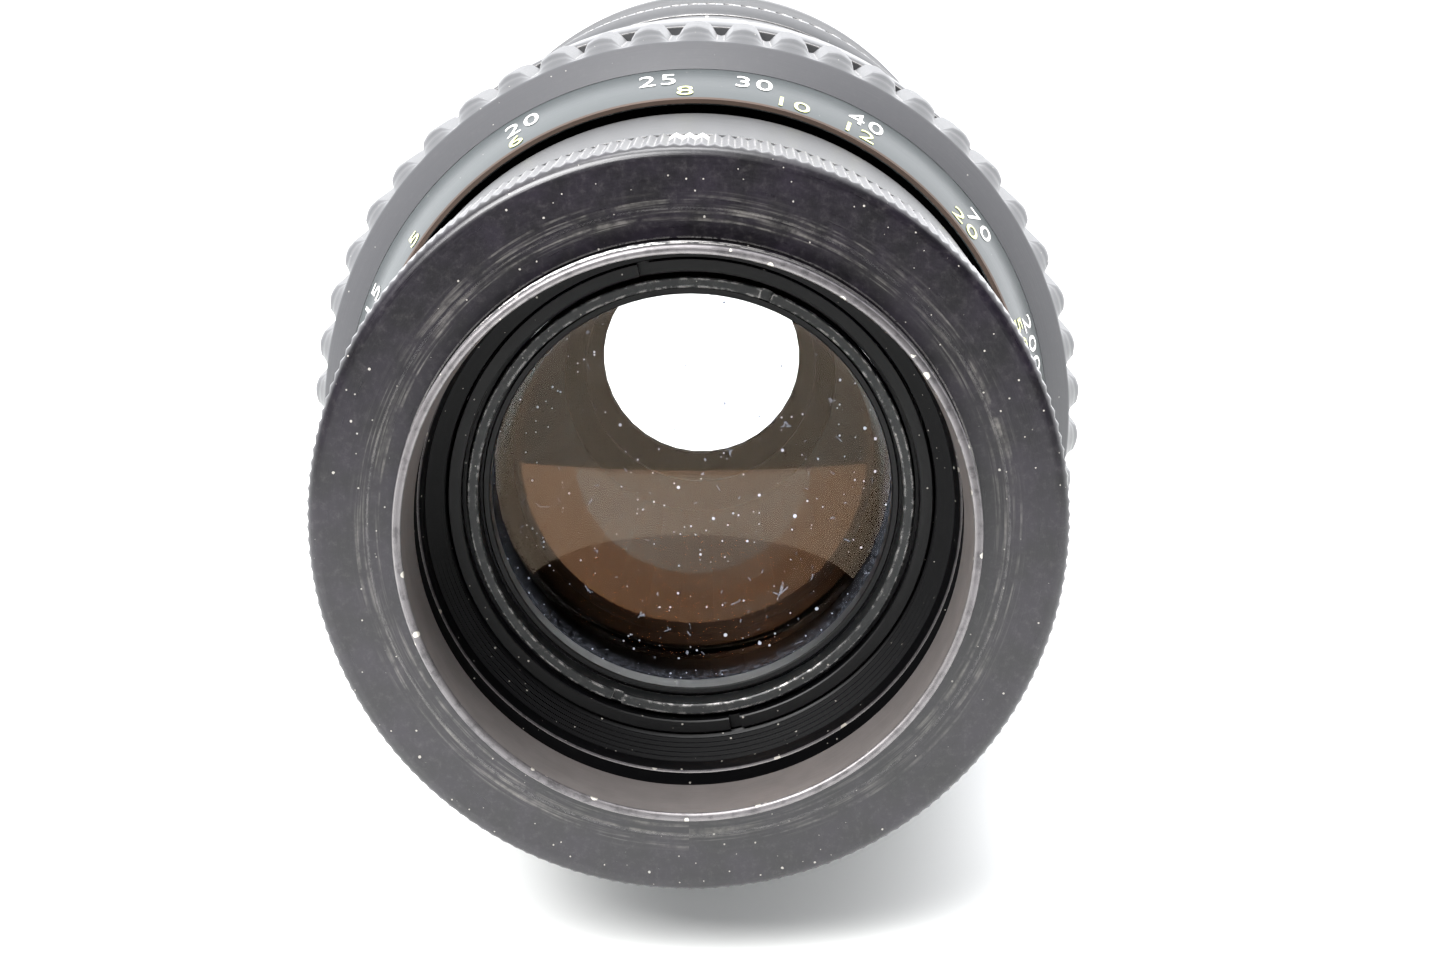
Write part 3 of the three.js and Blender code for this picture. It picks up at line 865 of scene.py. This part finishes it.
def stage_sheet(name, bm, material):
    """A flat piece of the stage, which isn't part of the lens."""
    mesh = bpy.data.meshes.new(name)
    bm.to_mesh(mesh)
    bm.free()
    mesh.materials.append(material)
    sheet = bpy.data.objects.new(name, mesh)
    bpy.context.scene.collection.objects.link(sheet)
    return sheet


def stage_floor():
    material, tree, _ = new_material("white_gloss_board")
    shader = add(tree, "ShaderNodeBsdfPrincipled", {"Base Color": srgb("#f4f5f3"), "Roughness": 0.35})
    add(tree, "ShaderNodeOutputMaterial", {"Surface": shader})
    bm = bmesh.new()
    bmesh.ops.create_grid(bm, x_segments=1, y_segments=1, size=FLOOR_SIZE)
    bmesh.ops.translate(bm, vec=(0, 0, FLOOR_Z - 0.05 * MM), verts=bm.verts)
    stage_sheet("floor", bm, material)


def stage_card():
    """A dark glowing card before the mount, which only reflections see: it paints the dark reflection of what
    stands behind a camera.
    """
    material, tree, _ = new_material("painted_dark_reflection_card")
    # Painted reflection: a dim brown glow, not a lamp, which glossy surfaces mirror as the dark side of the
    # room.
    painted_dark_reflection = add(tree, "ShaderNodeEmission", {"Color": srgb("#3a332c"), "Strength": 0.6})
    clear = add(tree, "ShaderNodeBsdfTransparent")
    side = add(tree, "ShaderNodeNewGeometry").outputs["Backfacing"]
    one_sided = add(tree, "ShaderNodeMixShader", {0: side, 1: painted_dark_reflection, 2: clear})
    add(tree, "ShaderNodeOutputMaterial", {"Surface": one_sided})
    bm = bmesh.new()
    bmesh.ops.create_grid(bm, x_segments=1, y_segments=1, size=0.5)
    bmesh.ops.scale(bm, vec=(CARD_WIDTH, CARD_HEIGHT, 1), verts=bm.verts)
    bmesh.ops.rotate(bm, matrix=Matrix.Rotation(-math.pi / 2, 3, "X"), verts=bm.verts)
    place = (0, FLANGE_Y - CARD_DISTANCE, FLOOR_Z + CARD_HEIGHT / 2 + 0.5 * MM)
    bmesh.ops.translate(bm, vec=place, verts=bm.verts)
    card = stage_sheet("dark_card", bm, material)
    card.visible_camera = False
    card.visible_diffuse = False
    card.visible_shadow = False


def softbox(name, place, width, height, watts):
    """A rectangular lamp that faces the foot of the lens."""
    data = bpy.data.lights.new(name, "AREA")
    data.shape = "RECTANGLE"
    data.size = width
    data.size_y = height
    data.energy = watts
    made = bpy.data.objects.new(name, data)
    made.location = place
    made.rotation_euler = (-Vector(place)).to_track_quat("-Z", "Y").to_euler()
    bpy.context.scene.collection.objects.link(made)


def stage_light():
    """Two softboxes, and a studio that is white ahead of the lens and overhead, and dark behind it."""
    softbox("softbox_over_camera", (-0.34, -0.74, 0.64), 0.5, 0.4, 18)
    softbox("overhead_softbox", (-0.1, -0.26, 1.05), 0.44, 0.32, 7)

    world = bpy.data.worlds.new("studio")
    world.use_nodes = True
    tree = world.node_tree
    tree.nodes.clear()
    direction = add(tree, "ShaderNodeTexCoord").outputs["Generated"]
    axes = add(tree, "ShaderNodeSeparateXYZ", {0: direction}).outputs
    ahead = add(tree, "ShaderNodeMapRange", {
        "Value": axes[1], "From Min": -0.35, "From Max": 0.15,
    }, interpolation_type="SMOOTHSTEP")
    overhead = add(tree, "ShaderNodeMapRange", {
        "Value": axes[2], "From Min": 0.75, "From Max": 0.95,
    }, interpolation_type="SMOOTHSTEP")
    bright = add(tree, "ShaderNodeMath", {0: ahead, 1: overhead}, operation="MAXIMUM")
    strength = add(tree, "ShaderNodeMapRange", {
        "Value": bright, "To Min": 0.04, "To Max": 3.2,
    }, interpolation_type="SMOOTHSTEP")
    back = add(tree, "ShaderNodeBackground", {"Color": srgb("#fbfcff"), "Strength": strength})
    add(tree, "ShaderNodeOutputWorld", {"Surface": back})
    bpy.context.scene.world = world
    bpy.context.scene.view_settings.view_transform = "Standard"


def camera():
    data = bpy.data.cameras.new("camera")
    data.sensor_width = 36.0
    data.lens = 64.8
    data.clip_start = 0.01
    data.clip_end = 50
    made = bpy.data.objects.new("camera", data)
    made.location = point_at(0, 0) + Vector((3.24, -183.0, 41.6)) * MM
    made.rotation_euler = (math.radians(90 - 11.75), 0, math.radians(0.24))
    bpy.context.scene.collection.objects.link(made)
    bpy.context.scene.camera = made


camera()
stage_floor()
stage_card()
stage_light()

mount_ring()
mount_spigot()
rear_barrel()
rear_baffle()
rear_bulkhead()
rear_rings()
rear_bezel()
rear_cell()
rear_group()
scale_sleeve()
focus_grip()
scale_numbers()
front_barrel()
filter_ring()
front_group()
front_name_ring()
aperture_ring()
aperture_numbers()
aperture_index()
plain_pieces()
